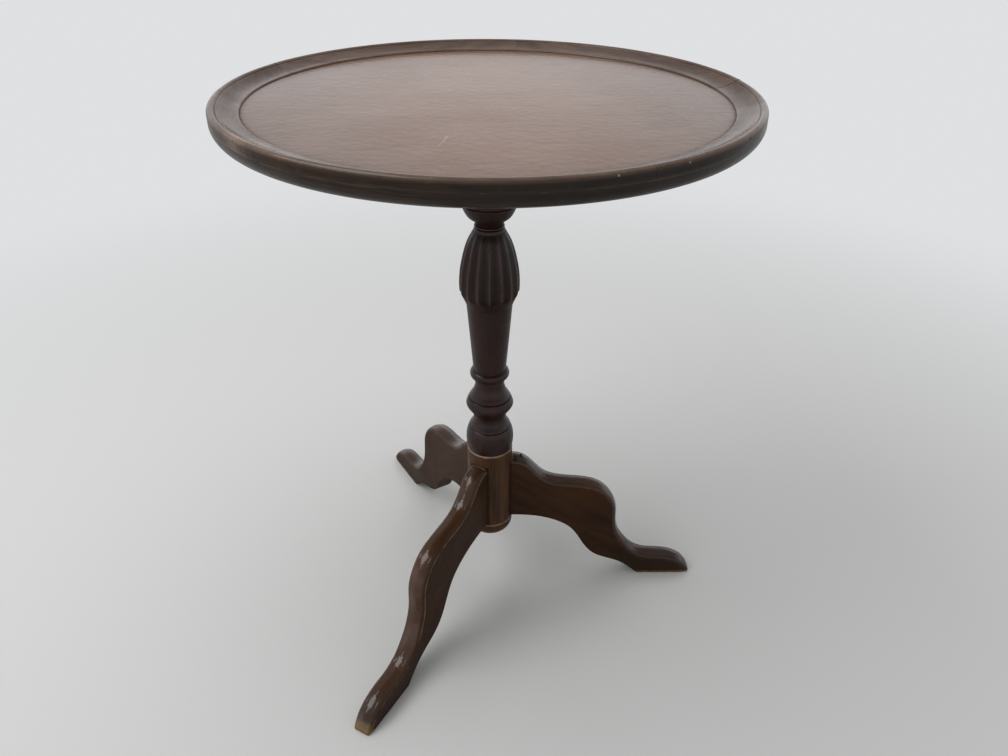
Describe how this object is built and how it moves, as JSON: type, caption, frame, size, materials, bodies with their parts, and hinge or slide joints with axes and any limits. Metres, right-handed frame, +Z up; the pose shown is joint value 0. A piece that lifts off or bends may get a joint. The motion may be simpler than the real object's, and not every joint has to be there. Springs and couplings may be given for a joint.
{
  "type": "tray top tea table",
  "caption": "Small round tray top table with an applied moulded rim, a turned and fluted column, and sawn tripod legs dovetailed into a drum.",
  "frame": {"origin": "on the floor, on the axis of the column, between the three feet", "axes": "+Z up along the column; +X along the right leg; the other legs a third of a turn to either side"},
  "size_m": [0.4994, 0.488, 0.6],
  "materials": {
    "top_wood": "satin brown varnish over straight grained mahogany",
    "rim_wood": "satin dark brown varnish, worn along the bead",
    "column_wood": "satin near black stain",
    "leg_wood": "satin brown varnish, worn along the arrises",
    "cleat_wood": "bare wood with a thin stain",
    "steel": "dull steel"
  },
  "bodies": {
    "root": {"top_board": "top_wood", "rim_segment_1": "rim_wood", "rim_segment_2": "rim_wood", "rim_segment_3": "rim_wood", "rim_segment_4": "rim_wood", "rim_segment_5": "rim_wood", "rim_pins": "steel", "cleat": "cleat_wood", "cleat_screws": "steel", "column": "column_wood", "tenon_wedge": "cleat_wood", "leg_drum": "leg_wood", "base_cap": "leg_wood", "leg_right": "leg_wood", "leg_back": "leg_wood", "leg_front": "leg_wood", "leg_nail": "steel"}
  },
  "joints": []
}
